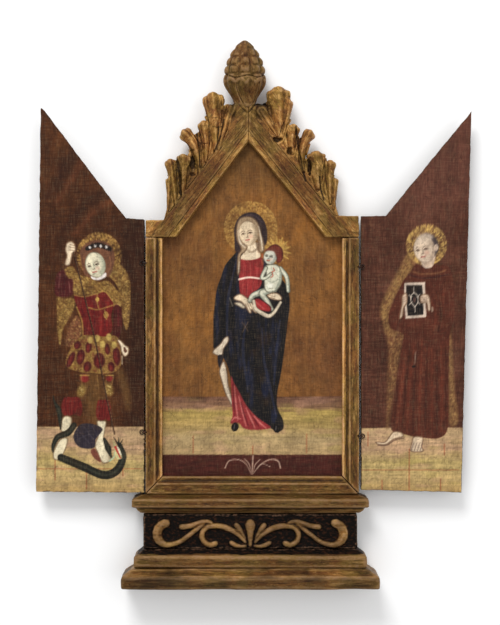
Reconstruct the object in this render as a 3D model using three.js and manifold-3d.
// A small triptych house altar of gilded and painted wood, with its wings open.
// Millimetres. X runs to the right, Y runs to the back and Z up. The origin lies on
// the underside, in the middle of the base.
import * as THREE from "three";
import { mergeVertices } from "three/addons/utils/BufferGeometryUtils.js";
import Module from "manifold-3d";

const wasm = await Module();
wasm.setup();

// Driving dimensions: base
const JOINT_GAP = 0.3;
const BASE_DEPTH = 46;
const PLINTH_WIDTH = 256;
const PLINTH_FACE_HEIGHT = 11.5;
const PLINTH_HEIGHT = 19;
const PLINTH_SLOPE = 10.4;
const PLINTH_LEDGE = 1.8;
const STEP_FACE_HEIGHT = 11;
const STEP_HEIGHT = 17.5;
const STEP_CHAMFER = 8.5;
const FRIEZE_HEIGHT = 35;
const CORNICE_HEIGHT = 18.6;
const CORNICE_BED_HEIGHT = 6;
const CORNICE_FACE_HEIGHT = 9.3;
const CORNICE_OVERHANG = 11;

// Driving dimensions: case
const CASE_SHIFT = 1.9;
const CASE_WIDTH = 214;
const PANEL_THICKNESS = 12;
const PANEL_INSET = 0.4;
const PANEL_LAND_INSET = 2.3;
const FRAME_THICKNESS = 10;
const FRAME_FRONT_SETBACK = 23.7;
const FRIEZE_PROUD = 3;
const STILE_WIDTH = 17;
const RAIL_WIDTH = 17.7;
const SHOULDER_BOTTOM = 348.5;
const SHOULDER_TOP = { left: 365.7, right: 370 };
const SHOULDER_REACH = { left: 31, right: 33.8 };
const APEX_X = -3.7;
const APEX_HEIGHT = 444.5;
const BAND_WIDTH = 20.4;

// Driving dimensions: crest
const LEAF_RECESS = 3.4;
const LEAF_ROOT_DEPTH = 0.9;
const CREST_LAND = { left: 18.2, right: 20.4 };
const CREST_TOP_REACH = { left: 19.6, right: 12.5 };
const SEAT_RISE = 37.5;
const APEX_PLATE_WIDTH = 39.2;

// Driving dimensions: finial
const FINIAL_SHIFT = -3.7;
const CALYX_HEIGHT = 28.5;
const CONE_HEIGHT = 35.3;
const FINIAL_RADIUS = 21.2;
const FINIAL_NECK_RADIUS = 10.5;
const FINIAL_FLATTENING = 0.66;
const CONE_COLUMNS = 10;
const CONE_ROWS = 4;
const CALYX_LEAVES = 8;
const CALYX_GROOVE = 0.22;
const SCALE_RELIEF = 0.15;

// Driving dimensions: wings
const WING_THICKNESS = 9;
const HINGE_GAP = 1.8;
const HINGE_STANDOFF = 1.2;
const WING_LEFT = {
  footInner: 93.8, footOuter: 94.5, shoulderInner: 365.5, shoulderOuter: 366.5,
  shoulderWidth: 18.4, tipWidth: 102, tip: 477, footWidth: 106.5,
};
const WING_RIGHT = {
  footInner: 95.5, footOuter: 92.8, shoulderInner: 369.6, shoulderOuter: 370.2,
  shoulderWidth: 25, tipWidth: 110.8, tip: 474.5, footWidth: 100.6,
};

// Driving dimensions: wire eyes
const WIRE_RADIUS = 0.55;
const EYE_RADIUS = 2.2;
const SHANK_LENGTH = 7;
const HOLE_CLEARANCE = 0.3;
const EYE_HEIGHTS = { left: { low: 153.5, high: 322.5 }, right: { low: 149.5, high: 318.5 } };

// Driving dimensions: frieze scrolls
const SCROLL_RELIEF = 3.8;
const SCROLL_SINK = 1;

// Depths worked out from the values above
const BACK = BASE_DEPTH / 2;
const FRONT = -BASE_DEPTH / 2;
const FRAME_FRONT = FRONT + FRAME_FRONT_SETBACK;
const FRAME_BACK = FRAME_FRONT + FRAME_THICKNESS;
const PANEL_FRONT = BACK - PANEL_THICKNESS;
const FRIEZE_FRONT = FRAME_FRONT - FRIEZE_PROUD;
const STEP_BOTTOM = PLINTH_HEIGHT + JOINT_GAP;
const FRIEZE_BOTTOM = STEP_BOTTOM + STEP_HEIGHT + JOINT_GAP;
const CORNICE_BOTTOM = FRIEZE_BOTTOM + FRIEZE_HEIGHT + JOINT_GAP;
const CASE_BOTTOM = CORNICE_BOTTOM + CORNICE_HEIGHT + JOINT_GAP;
const CASE_HALF = CASE_WIDTH / 2;
const OPENING_HALF = CASE_HALF - STILE_WIDTH;
const OPENING_BOTTOM = CASE_BOTTOM + RAIL_WIDTH;
const SEAT_HEIGHT = APEX_HEIGHT + SEAT_RISE;
const FINIAL_X = APEX_X + FINIAL_SHIFT;
const FINIAL_WAIST = SEAT_HEIGHT + CALYX_HEIGHT;
const FINIAL_TOP = FINIAL_WAIST + CONE_HEIGHT;
const HINGE_X = CASE_HALF + HINGE_GAP / 2;
const HINGE_Y = FRAME_FRONT - HINGE_STANDOFF;
const MITRE_GAP = JOINT_GAP / 2;
const HALF_TURN = Math.PI;

const finishes = {
  gilt: new THREE.MeshStandardMaterial({ color: 0x7d5a30, roughness: 0.5, metalness: 0.35 }),
  black: new THREE.MeshStandardMaterial({ color: 0x191616, roughness: 0.6, metalness: 0 }),
  ochre: new THREE.MeshStandardMaterial({ color: 0x80562b, roughness: 0.55, metalness: 0.1 }),
  crimson: new THREE.MeshStandardMaterial({ color: 0x4d2a22, roughness: 0.6, metalness: 0 }),
  iron: new THREE.MeshStandardMaterial({ color: 0x2a2623, roughness: 0.6, metalness: 0.8 }),
};

// Mesh helpers

function signedArea(outline) {
  return THREE.ShapeUtils.area(outline);
}

// Triangles that fill a flat section, wound the way the section runs
function fillSection(section) {
  const origin = section[0];
  const normal = new THREE.Vector3();
  for (let i = 1; i + 1 < section.length; i += 1) {
    const first = section[i].clone().sub(origin);
    const second = section[i + 1].clone().sub(origin);
    normal.add(first.cross(second));
  }
  normal.normalize();
  const helper = Math.abs(normal.z) > 0.9 ? new THREE.Vector3(1, 0, 0) : new THREE.Vector3(0, 0, 1);
  const across = new THREE.Vector3().crossVectors(helper, normal).normalize();
  const up = new THREE.Vector3().crossVectors(normal, across);
  const flat = section.map((point) => new THREE.Vector2(point.dot(across), point.dot(up)));
  const triangles = THREE.ShapeUtils.triangulateShape(flat, []);
  const turn = Math.sign(signedArea(flat));
  return triangles.map(([a, b, c]) => {
    const same = Math.sign(signedArea([flat[a], flat[b], flat[c]])) === turn;
    return same ? [a, b, c] : [a, c, b];
  });
}

// A closed solid through a row of sections that all have the same number of points
function loft(sections) {
  const count = sections[0].length;
  const last = (sections.length - 1) * count;
  const points = sections.flat();
  const faces = [];
  for (let row = 0; row < last; row += count) {
    for (let i = 0; i < count; i += 1) {
      const j = (i + 1) % count;
      faces.push([row + i, row + j, row + count + j]);
      faces.push([row + i, row + count + j, row + count + i]);
    }
  }
  fillSection(sections[0]).forEach(([a, b, c]) => faces.push([a, c, b]));
  fillSection(sections[sections.length - 1]).forEach(([a, b, c]) => {
    faces.push([last + a, last + b, last + c]);
  });
  let volume = 0;
  faces.forEach(([a, b, c]) => {
    volume += points[a].dot(points[b].clone().cross(points[c]));
  });
  const outward = volume > 0 ? faces : faces.map(([a, b, c]) => [a, c, b]);
  const geometry = new THREE.BufferGeometry();
  geometry.setAttribute("position", new THREE.Float32BufferAttribute(points.flatMap((p) => [...p]), 3));
  geometry.setIndex(outward.flat());
  return geometry;
}

function toSolid(geometry) {
  const bare = geometry.clone();
  bare.deleteAttribute("normal");
  bare.deleteAttribute("uv");
  const merged = mergeVertices(bare, 1e-4);
  const mesh = new wasm.Mesh({
    numProp: 3,
    vertProperties: new Float32Array(merged.attributes.position.array),
    triVerts: new Uint32Array(merged.index.array),
  });
  return new wasm.Manifold(mesh);
}

function toGeometry(solid) {
  const mesh = solid.getMesh();
  const geometry = new THREE.BufferGeometry();
  geometry.setAttribute("position", new THREE.Float32BufferAttribute(mesh.vertProperties, 3));
  geometry.setIndex(Array.from(mesh.triVerts));
  return geometry;
}

function joined(geometries) {
  return geometries.map(toSolid).reduce((whole, next) => whole.add(next));
}

// A flat board: its outline is in X and Z, its faces are at two depths
function board(outline, front, back) {
  const at = (depth) => outline.map(([x, z]) => new THREE.Vector3(x, depth, z));
  return loft([at(front), at(back)]);
}

function cylinderAlong(start, end, radius, sides) {
  const length = start.distanceTo(end);
  const geometry = new THREE.CylinderGeometry(radius, radius, length, sides);
  const direction = end.clone().sub(start).normalize();
  const turn = new THREE.Quaternion().setFromUnitVectors(new THREE.Vector3(0, 1, 0), direction);
  geometry.applyQuaternion(turn);
  const middle = start.clone().lerp(end, 0.5);
  geometry.translate(middle.x, middle.y, middle.z);
  return geometry;
}

// Base members: a block with a moulding round three sides and a flat back.
// Each rim entry is a height and how far the side stands out past the frieze.
function mouldedBlock(rim, halfWidth, front) {
  const sections = rim.map(([height, out]) => {
    const side = halfWidth + out;
    const face = front - out;
    const corners = [[-side, BACK], [-side, face], [side, face], [side, BACK]];
    return corners.map(([x, y]) => new THREE.Vector3(x, y, height));
  });
  return loft(sections);
}

function basePlinth() {
  const half = PLINTH_WIDTH / 2;
  const easing = 1.2;
  const rim = [
    [0, -easing],
    [easing, 0],
    [PLINTH_FACE_HEIGHT - easing, 0],
    [PLINTH_FACE_HEIGHT + easing, -easing],
    [PLINTH_HEIGHT - easing, -PLINTH_SLOPE + easing],
    [PLINTH_HEIGHT, -PLINTH_SLOPE],
  ];
  return mouldedBlock(rim, half, FRONT);
}

function baseStep() {
  const half = PLINTH_WIDTH / 2 - PLINTH_SLOPE - PLINTH_LEDGE;
  const front = FRONT + PLINTH_SLOPE + PLINTH_LEDGE;
  const rim = [
    [STEP_BOTTOM, 0],
    [STEP_BOTTOM + STEP_FACE_HEIGHT, 0],
    [STEP_BOTTOM + STEP_HEIGHT, -STEP_CHAMFER],
  ];
  return mouldedBlock(rim, half, front);
}

function cornice() {
  const bedReach = 6.8;
  const quirk = 0.8;
  const bedMiddle = CORNICE_BOTTOM + CORNICE_BED_HEIGHT / 2;
  const bedTop = CORNICE_BOTTOM + CORNICE_BED_HEIGHT;
  const faceTop = bedTop + CORNICE_FACE_HEIGHT;
  const rim = [
    [CORNICE_BOTTOM, bedReach * 0.35],
    [bedMiddle, bedReach * 0.85],
    [bedTop - quirk, bedReach],
    [bedTop, bedReach - quirk],
    [bedTop + quirk / 2, CORNICE_OVERHANG - quirk],
    [bedTop + 2 * quirk, CORNICE_OVERHANG],
    [faceTop - quirk, CORNICE_OVERHANG],
    [faceTop, CORNICE_OVERHANG - quirk],
    [CORNICE_BOTTOM + CORNICE_HEIGHT, 2],
  ];
  return mouldedBlock(rim, CASE_HALF, FRAME_FRONT);
}

// Frieze: a black box with scrolls in half round relief, the same on both sides
// of a central bulb. A path runs over [x, height] points, and radii swell along it.
function strapwork(path, radii, mirror) {
  const curve = new THREE.CatmullRomCurve3(
    path.map(([x, z]) => new THREE.Vector3(mirror * x, FRIEZE_FRONT, z)), false, "centripetal");
  const arcPoints = 5;
  const sections = strapStations(curve.getLength(), radii).map(([t, radius]) => {
    const point = curve.getPointAt(t);
    const along = curve.getTangentAt(t);
    const side = new THREE.Vector3(along.z, 0, -along.x);
    const rise = SCROLL_RELIEF * Math.min(1, 0.3 + radius / 5);
    const at = (reach, depth) => {
      const corner = point.clone().addScaledVector(side, reach);
      corner.y += depth;
      return corner;
    };
    const section = [];
    for (let i = 0; i < arcPoints; i += 1) {
      const angle = HALF_TURN * i / (arcPoints - 1);
      section.push(at(radius * Math.cos(angle), -rise * Math.sin(angle)));
    }
    section.push(at(-radius, SCROLL_SINK), at(radius, SCROLL_SINK));
    return section;
  });
  return loft(sections);
}

// Stations along a strap: [share, radius] pairs, closing to a round end at both ends
function strapStations(length, radii) {
  const stride = 4.2;
  const closing = [[0.03, 0.35], [0.35, 0.78]];
  const firstRadius = radiusAt(radii, 0);
  const lastRadius = radiusAt(radii, 1);
  const from = firstRadius / length;
  const to = 1 - lastRadius / length;
  const middle = Math.max(3, Math.round(length * (to - from) / stride));
  const stations = closing.map(([reach, swell]) => [from * reach, firstRadius * swell]);
  for (let i = 0; i <= middle; i += 1) {
    const t = from + (to - from) * i / middle;
    stations.push([t, radiusAt(radii, t)]);
  }
  closing.toReversed().forEach(([reach, swell]) => {
    stations.push([1 - (1 - to) * reach, lastRadius * swell]);
  });
  return stations;
}

// Radii are [share of the path, radius] stops with straight lines between them
function radiusAt(stops, t) {
  const next = Math.max(1, stops.findIndex(([share]) => share >= t));
  const [shareA, radiusA] = stops[next - 1];
  const [shareB, radiusB] = stops[next];
  return radiusA + (radiusB - radiusA) * (t - shareA) / (shareB - shareA);
}

// Points on an arc round a centre, from one angle to another in degrees
function arc([x, z], radius, from, to, count) {
  const points = [];
  for (let i = 0; i < count; i += 1) {
    const angle = THREE.MathUtils.degToRad(from + (to - from) * i / (count - 1));
    points.push([x + radius * Math.cos(angle), z + radius * Math.sin(angle)]);
  }
  return points;
}

function friezeScrolls(mirror) {
  const middle = FRIEZE_BOTTOM + FRIEZE_HEIGHT / 2;
  const at = (x, rise) => [x, middle + rise];
  const bigScroll = [
    ...arc(at(82, -2.2), 11, 100, -84, 8),
    at(71, -10.4), at(60, -2.7), at(51, 4.5), at(45.5, 9),
  ];
  const stub = [at(71, 4.4), at(60, 5.9), at(51, 8.9), at(44, 10.3), at(37, 8.4)];
  const stem = [
    at(4, -11.5), at(12, -2.7), at(21, 2.7), at(30, 5.6),
    ...arc(at(39, -3.9), 9.3, 84, -88, 6),
    at(32.4, -10.8),
  ];
  const lowCurl = [at(3.4, -14.4), at(9.5, -14.8), at(15, -13.4), at(20.8, -10)];
  const leaf = [at(4.8, -7.1), at(9.2, 0), at(15.2, 8.6)];
  return [
    strapwork(bigScroll, [[0, 5], [0.12, 5.4], [0.3, 5.6], [0.44, 3.4], [0.7, 2.6], [1, 2.4]], mirror),
    strapwork(stub, [[0, 3.4], [0.5, 2.8], [1, 2]], mirror),
    strapwork(stem, [[0, 1.6], [0.3, 3.1], [0.45, 3.2], [0.6, 2.8], [1, 3.3]], mirror),
    strapwork(lowCurl, [[0, 1.4], [0.6, 2.5], [1, 2.6]], mirror),
    strapwork(leaf, [[0, 0.9], [0.7, 2.9], [1, 2.8]], mirror),
  ];
}

function frieze() {
  const box = mouldedBlock([[FRIEZE_BOTTOM, 0], [FRIEZE_BOTTOM + FRIEZE_HEIGHT, 0]],
    CASE_HALF, FRIEZE_FRONT);
  const middle = FRIEZE_BOTTOM + FRIEZE_HEIGHT / 2;
  const bulb = strapwork([[0, middle - 15], [0, middle], [0, middle + 12.4]],
    [[0, 1.6], [0.35, 2.6], [0.58, 4], [0.74, 5.8], [1, 5.4]], 1);
  return joined([box, ...friezeScrolls(1), ...friezeScrolls(-1), bulb]);
}

// Frame: the section of every frame moulding runs from the picture outwards.
// Each entry is a distance from the inner edge and a height over the frame's back.
function frameProfile(width) {
  const bead = 0.7;
  const top = FRAME_THICKNESS;
  return [
    [0, 0], [0, top - 2.6], [1.1, top - 1.9], [2, top - 2.3], [4.6, top - 2.9], [6.2, top - 1.2],
    [6.9, top + bead * 0.6], [7.6, top + bead], [8.4, top + bead * 0.3], [9, top - 0.7],
    [9.8, top], [width, top], [width, 0],
  ];
}

// A moulding whose two ends are cut where the end functions say, by distance and height
function member(profile, place) {
  const ends = [0, 1].map((end) => profile.map(([out, height]) => {
    const [x, z] = place(out, end);
    return new THREE.Vector3(x, FRAME_BACK - height, z);
  }));
  return loft(ends);
}

const MITRE_SLOPE = RAIL_WIDTH / STILE_WIDTH;

function stile(side) {
  const profile = frameProfile(STILE_WIDTH);
  return member(profile, (out, end) => {
    const x = side * (OPENING_HALF + out);
    const bottom = OPENING_BOTTOM - out * MITRE_SLOPE + MITRE_GAP;
    return [x, end === 0 ? bottom : SHOULDER_BOTTOM - JOINT_GAP];
  });
}

function bottomRail() {
  return member(frameProfile(RAIL_WIDTH), (out, end) => {
    const reach = OPENING_HALF + out / MITRE_SLOPE - MITRE_GAP;
    return [end === 0 ? -reach : reach, OPENING_BOTTOM - out];
  });
}

// The rake runs from the foot of the gable's inner edge to the inner apex
function rake(side, key) {
  const foot = new THREE.Vector2(side * (CASE_HALF - SHOULDER_REACH[key]), SHOULDER_BOTTOM);
  const apex = new THREE.Vector2(APEX_X, APEX_HEIGHT);
  const length = foot.distanceTo(apex);
  const along = apex.clone().sub(foot).normalize();
  const out = new THREE.Vector2(-along.y, along.x).multiplyScalar(-side);
  return { foot, along, out, length };
}

// A point of the crest, in hundredths of the rake's length along it and out from it
function onRake({ foot, along, out, length }, [reach, rise]) {
  const point = foot.clone().addScaledVector(along, reach / 100 * length);
  return point.addScaledVector(out, rise / 100 * length);
}

function rakeMoulding(side, key) {
  const { foot, along, out } = rake(side, key);
  const apexSide = APEX_X + side * MITRE_GAP;
  return member(frameProfile(BAND_WIDTH), (distance, end) => {
    const start = foot.clone().addScaledVector(out, distance);
    const toFoot = (SHOULDER_BOTTOM - start.y) / along.y;
    const toApex = (apexSide - start.x) / along.x;
    const point = start.addScaledVector(along, end === 0 ? toFoot : toApex);
    return [point.x, point.y];
  });
}

// The shoulder has a shallow hollow along its lower edge
function shoulder(side, key) {
  const height = SHOULDER_TOP[key] - SHOULDER_BOTTOM;
  const top = FRAME_THICKNESS;
  const hollow = 4.5;
  const profile = [
    [0, 0], [0, top - 2.2], [hollow / 2, top - 2.4], [hollow, top - 1.2], [hollow + 1, top],
    [height, top], [height, 0],
  ];
  const reach = SHOULDER_REACH[key];
  return member(profile, (out, end) => {
    const x = end === 0 ? CASE_HALF : CASE_HALF - reach;
    return [side * x, SHOULDER_BOTTOM + out];
  });
}

// A crest leaf swells from its root on the rake to a round tip.
// Root, bend, tip and width are in hundredths of the rake's length; crown is its relief.
function crestLeaf({ root, bend, tip, width, crown }, rakeLine) {
  const curve = new THREE.QuadraticBezierCurve(...[root, bend, tip].map((at) => onRake(rakeLine, at)));
  const halfWidth = width / 100 * rakeLine.length / 2;
  const steps = 9;
  const rounding = 1 - 0.84 * halfWidth / curve.getLength();
  const rootShare = 0.28;
  const bluntness = 0.4;
  const tipDroop = 0.45;
  const across = [[-1, 0], [-0.72, 0.62], [0, 1], [0.72, 0.62], [1, 0]];
  const base = FRAME_FRONT + LEAF_RECESS;
  const rootDepth = FRAME_FRONT + LEAF_ROOT_DEPTH;
  const sections = [];
  for (let step = 0; step <= steps; step += 1) {
    const t = leafStation(step / steps, rounding);
    const point = curve.getPointAt(t);
    const along = curve.getTangentAt(t);
    const pastShoulder = Math.max(0, (t - rounding) / (1 - rounding));
    const closing = Math.max(bluntness, Math.sqrt(1 - pastShoulder * pastShoulder));
    const half = halfWidth * (rootShare + (1 - rootShare) * Math.sin(t * HALF_TURN / 2)) * closing;
    const swell = Math.sin(Math.min(1, t * 1.5) * HALF_TURN / 2) * (1 - tipDroop * (1 - closing));
    const ridge = rootDepth - (crown + LEAF_ROOT_DEPTH) * swell;
    const spread = (share, depth) => new THREE.Vector3(
      point.x + along.y * half * share, depth, point.y - along.x * half * share);
    const face = across.map(([share, rise]) => spread(share, base + (ridge - base) * rise));
    sections.push([spread(-1, FRAME_BACK), ...face, spread(1, FRAME_BACK)]);
  }
  return loft(sections);
}

// Stations stand closer together round the tip: the last third of them lie past its shoulder
function leafStation(share, rounding) {
  const before = 2 / 3;
  if (share <= before) {
    return rounding * share / before;
  }
  return rounding + (1 - rounding) * Math.sin((share - before) / (1 - before) * HALF_TURN / 2);
}

// The leaves climb the rake in threes, each group larger than the one below
const LEAVES = {
  left: [
    { root: [10.4, 17.2], bend: [25.4, 26.4], tip: [35.8, 34.8], width: 5.5, crown: 1.6 },
    { root: [20.7, 16.1], bend: [35.9, 29.1], tip: [48.9, 43.9], width: 9.6, crown: 3.2 },
    { root: [30.3, 16.5], bend: [46, 26.8], tip: [58.8, 37.5], width: 11.2, crown: 4.2 },
    { root: [53.7, 16.5], bend: [73.7, 30], tip: [73.5, 49.7], width: 10.8, crown: 4.4 },
    { root: [64.9, 18.2], bend: [80.3, 28.2], tip: [90.4, 41], width: 10, crown: 4 },
    { root: [76.9, 16.2], bend: [95.2, 30.6], tip: [114.1, 48.4], width: 17.1, crown: 5.4 },
    { root: [79.4, 15.6], bend: [98.6, 23.2], tip: [115.6, 29.8], width: 7.5, crown: 2.6 },
  ],
  right: [
    { root: [13.2, 19.2], bend: [23.9, 29.3], tip: [32.3, 36.5], width: 5.2, crown: 1.4 },
    { root: [18.6, 20.4], bend: [33.5, 30.3], tip: [46.2, 42.5], width: 8.9, crown: 3.2 },
    { root: [34.4, 20.1], bend: [48.3, 30.1], tip: [59.2, 37.9], width: 16.3, crown: 4.2 },
    { root: [52.6, 19.5], bend: [71.8, 28.1], tip: [74.6, 46], width: 9.3, crown: 4.4 },
    { root: [69.9, 21.4], bend: [80.8, 28.6], tip: [87, 37.7], width: 11.8, crown: 4 },
    { root: [84.8, 22.9], bend: [94.7, 37.1], tip: [105.4, 47.2], width: 6.5, crown: 3.6 },
    { root: [86.1, 21.9], bend: [100.3, 32.8], tip: [119.2, 46.3], width: 20.3, crown: 5.6 },
    { root: [88.9, 21], bend: [101.2, 22.5], tip: [112.3, 23.1], width: 6.5, crown: 2.2 },
  ],
};

// The ground between the leaves lies lower than the band, and ends inside their tips
const CREST_GROUND = {
  left: [
    [13.2, 20.5], [28.1, 31.1], [42.2, 35.9], [49.4, 36.1], [54.2, 32.5], [63, 33.2],
    [66.8, 37.8], [79.5, 39], [84.3, 35.4], [92.6, 35.4], [106.1, 38.2],
  ],
  right: [
    [14.5, 22.9], [25.5, 31.2], [41.9, 35.5], [53.2, 33], [60.1, 27.1], [69.5, 33.6],
    [80, 34.7], [91.8, 34.3], [102.1, 40.9], [114.3, 36.1],
  ],
};

function crestGround(side, key) {
  const sunk = 0.2;
  const apexSide = APEX_X + side * MITRE_GAP;
  const rakeLine = rake(side, key);
  const { foot, along, out } = rakeLine;
  const inside = foot.clone().addScaledVector(out, BAND_WIDTH / 2);
  const apexRise = (apexSide - inside.x) / along.x;
  const underApex = inside.clone().addScaledVector(along, apexRise);
  const outline = [
    [apexSide, SEAT_HEIGHT], [underApex.x, underApex.y], [inside.x, inside.y + BAND_WIDTH / 2],
    [side * (CASE_HALF - CREST_LAND[key]), SHOULDER_TOP[key] - sunk],
    ...CREST_GROUND[key].map((at) => onRake(rakeLine, at).toArray()),
    [APEX_X + side * CREST_TOP_REACH[key], SEAT_HEIGHT - sunk],
  ];
  return board(outline, FRAME_FRONT + LEAF_RECESS, FRAME_BACK);
}

// Round the apex the board keeps its full thickness and carries the finial
function apexPlate(side) {
  const apexSide = APEX_X + side * MITRE_GAP;
  const setback = 0.2;
  const reach = APEX_PLATE_WIDTH / 2;
  const corner = 4;
  const foot = 8;
  const outline = [
    [apexSide, APEX_HEIGHT + BAND_WIDTH], [apexSide + side * reach, APEX_HEIGHT + foot],
    [apexSide + side * reach, SEAT_HEIGHT - corner], [apexSide + side * (reach - corner), SEAT_HEIGHT],
    [apexSide, SEAT_HEIGHT],
  ];
  return board(outline, FRAME_FRONT + setback, FRAME_BACK);
}

function gable(side, key) {
  const rakeLine = rake(side, key);
  const pieces = [
    rakeMoulding(side, key), shoulder(side, key), crestGround(side, key), apexPlate(side),
    ...LEAVES[key].map((leaf) => crestLeaf(leaf, rakeLine)),
  ];
  return joined(pieces);
}

function centrePanel() {
  const half = CASE_HALF - PANEL_INSET;
  const peak = APEX_HEIGHT + BAND_WIDTH;
  const edge = (side, key) => {
    const top = SHOULDER_TOP[key] - PANEL_INSET;
    const land = CREST_LAND[key] - PANEL_LAND_INSET;
    return [[side * half, CASE_BOTTOM], [side * half, top], [side * (half - land), top]];
  };
  const outline = [...edge(1, "right"), [APEX_X, peak], ...edge(-1, "left").toReversed()];
  return board(outline, PANEL_FRONT, BACK);
}

// Finial: a pinecone in a calyx of leaves, a little flattened from front to back
function finial() {
  const calyxRings = 9;
  const ringsPerRow = 4;
  const coneRings = CONE_ROWS * ringsPerRow;
  const segments = 40;
  const bottom = SEAT_HEIGHT + JOINT_GAP;
  const waistRise = 1.2;
  const coneBottom = FINIAL_WAIST + waistRise;
  const depthCentre = FRAME_FRONT + FRAME_THICKNESS / 2;
  const ringAt = (z, radiusAtAngle) => {
    const section = [];
    for (let i = 0; i < segments; i += 1) {
      const angle = 2 * HALF_TURN * i / segments;
      const radius = radiusAtAngle(angle);
      section.push(new THREE.Vector3(
        FINIAL_X + radius * Math.sin(angle),
        depthCentre - FINIAL_FLATTENING * radius * Math.cos(angle), z));
    }
    return section;
  };
  const sections = [];
  for (let ring = 0; ring <= calyxRings; ring += 1) {
    const share = ring / calyxRings;
    const height = bottom + (FINIAL_WAIST - bottom) * share;
    sections.push(ringAt(height, (angle) => calyxRadius(share, angle)));
  }
  for (let ring = 0; ring <= coneRings; ring += 1) {
    const share = ring / coneRings;
    const height = coneBottom + (FINIAL_TOP - coneBottom) * share;
    sections.push(ringAt(height, (angle) => coneRadius(share, angle)));
  }
  return loft(sections);
}

// The calyx widens from its neck in a bell curve, with a groove between its leaves
function calyxRadius(share, angle) {
  const bell = 1.9;
  const grooveSharpness = 1.5;
  const flare = Math.sin(share * bell) ** bell;
  const body = FINIAL_NECK_RADIUS + (FINIAL_RADIUS - FINIAL_NECK_RADIUS) * flare;
  const leaf = Math.abs(Math.cos(CALYX_LEAVES * angle / 2));
  return body - CALYX_GROOVE * body * share * (1 - leaf) ** grooveSharpness;
}

// The cone closes in a blunt dome. Its scales stand in rows and columns of square blocks.
function coneRadius(share, angle) {
  const closed = 0.985;
  const firstShare = 0.12;
  const domeBluntness = 0.62;
  const scaleMean = 0.85;
  const u = Math.min(closed, share);
  const domeAngle = (firstShare + (1 - firstShare) * u) * HALF_TURN / 2;
  const body = FINIAL_RADIUS * Math.cos(domeAngle) ** domeBluntness;
  const rowPhase = (u * CONE_ROWS) % 1;
  const column = Math.abs(Math.cos(CONE_COLUMNS * angle / 2)) ** 0.45;
  const row = Math.sin(HALF_TURN * rowPhase) ** 0.5;
  return body * (1 + SCALE_RELIEF * (column * row - scaleMean));
}

// Wings: each is one board, drawn open, hinged on its inner edge
function wingOutline(side, wing) {
  const inner = HINGE_X + HINGE_GAP / 2;
  return [
    [inner, wing.footInner], [inner, wing.shoulderInner],
    [inner + wing.shoulderWidth, wing.shoulderOuter], [inner + wing.tipWidth, wing.tip],
    [inner + wing.footWidth, wing.footOuter],
  ].map(([x, z]) => [side * x, z]);
}

// Wire eyes: the frame's ring lies flat round the hinge axis, and the wing's ring
// stands up and passes through it. Each has a shank in a drilled hole.
function frameShank(side, height) {
  const diagonal = Math.SQRT1_2;
  const start = new THREE.Vector3(
    side * (HINGE_X - EYE_RADIUS * diagonal), HINGE_Y + EYE_RADIUS * diagonal, height);
  const direction = new THREE.Vector3(-side * diagonal, diagonal, 0);
  return { start, end: start.clone().addScaledVector(direction, SHANK_LENGTH) };
}

function wingShank(side, height) {
  const start = new THREE.Vector3(side * (HINGE_X + 2 * EYE_RADIUS), HINGE_Y, height);
  return { start, end: start.clone().add(new THREE.Vector3(0, SHANK_LENGTH, 0)) };
}

function eye(ring, shank) {
  const wire = cylinderAlong(shank.start, shank.end, WIRE_RADIUS, 6);
  return joined([ring, wire]);
}

function frameEye(side, height) {
  const ring = new THREE.TorusGeometry(EYE_RADIUS, WIRE_RADIUS, 6, 12);
  ring.translate(side * HINGE_X, HINGE_Y, height);
  return eye(ring, frameShank(side, height));
}

function wingEye(side, height) {
  const ring = new THREE.TorusGeometry(EYE_RADIUS, WIRE_RADIUS, 6, 12);
  ring.rotateX(HALF_TURN / 2);
  ring.translate(side * (HINGE_X + EYE_RADIUS), HINGE_Y, height);
  return eye(ring, wingShank(side, height));
}

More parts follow.
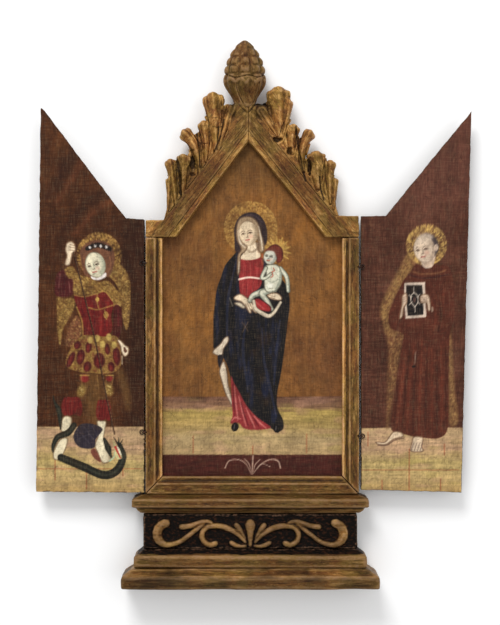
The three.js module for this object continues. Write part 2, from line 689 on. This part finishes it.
// The round pocket that lets the flat ring sit between the two edges
function eyePocket(side, height) {
  const radius = EYE_RADIUS + WIRE_RADIUS + 1.5 * HOLE_CLEARANCE;
  const half = WIRE_RADIUS + HOLE_CLEARANCE;
  const centre = new THREE.Vector3(side * HINGE_X, HINGE_Y, height);
  const up = new THREE.Vector3(0, 0, half);
  return cylinderAlong(centre.clone().sub(up), centre.clone().add(up), radius, 16);
}

function shankHole({ start, end }) {
  const beyond = end.clone().sub(start).setLength(HOLE_CLEARANCE);
  return cylinderAlong(start, end.clone().add(beyond), WIRE_RADIUS + HOLE_CLEARANCE, 8);
}

function drilled(geometry, side, key, shankOf) {
  let solid = toSolid(geometry);
  Object.values(EYE_HEIGHTS[key]).forEach((height) => {
    solid = solid.subtract(toSolid(eyePocket(side, height)));
    solid = solid.subtract(toSolid(shankHole(shankOf(side, height))));
  });
  return solid;
}

// Assembly
const altar = new THREE.Group();
const caseGroup = new THREE.Group();
caseGroup.position.x = CASE_SHIFT;
altar.add(caseGroup);

function place(group, name, shape, finish) {
  const geometry = shape.isBufferGeometry ? shape : toGeometry(shape);
  const mesh = new THREE.Mesh(geometry, finishes[finish]);
  mesh.name = name;
  group.add(mesh);
}

place(altar, "base_plinth", basePlinth(), "gilt");
place(altar, "base_step", baseStep(), "gilt");
place(altar, "frieze", frieze(), "black");
place(altar, "cornice", cornice(), "gilt");
place(caseGroup, "centre_panel", centrePanel(), "ochre");
place(caseGroup, "bottom_rail", bottomRail(), "gilt");
place(caseGroup, "finial", finial(), "gilt");

const sides = [["left", -1, WING_LEFT], ["right", 1, WING_RIGHT]];
sides.forEach(([key, side, wing]) => {
  place(caseGroup, `stile_${key}`, drilled(stile(side), side, key, frameShank), "gilt");
  place(caseGroup, `gable_${key}`, gable(side, key), "gilt");
  const wingBoard = board(wingOutline(side, wing), FRAME_FRONT, FRAME_FRONT + WING_THICKNESS);
  place(caseGroup, `wing_${key}`, drilled(wingBoard, side, key, wingShank), "crimson");
  Object.entries(EYE_HEIGHTS[key]).forEach(([level, height]) => {
    place(caseGroup, `eye_frame_${key}_${level}`, frameEye(side, height), "iron");
    place(caseGroup, `eye_wing_${key}_${level}`, wingEye(side, height), "iron");
  });
});

export default altar;
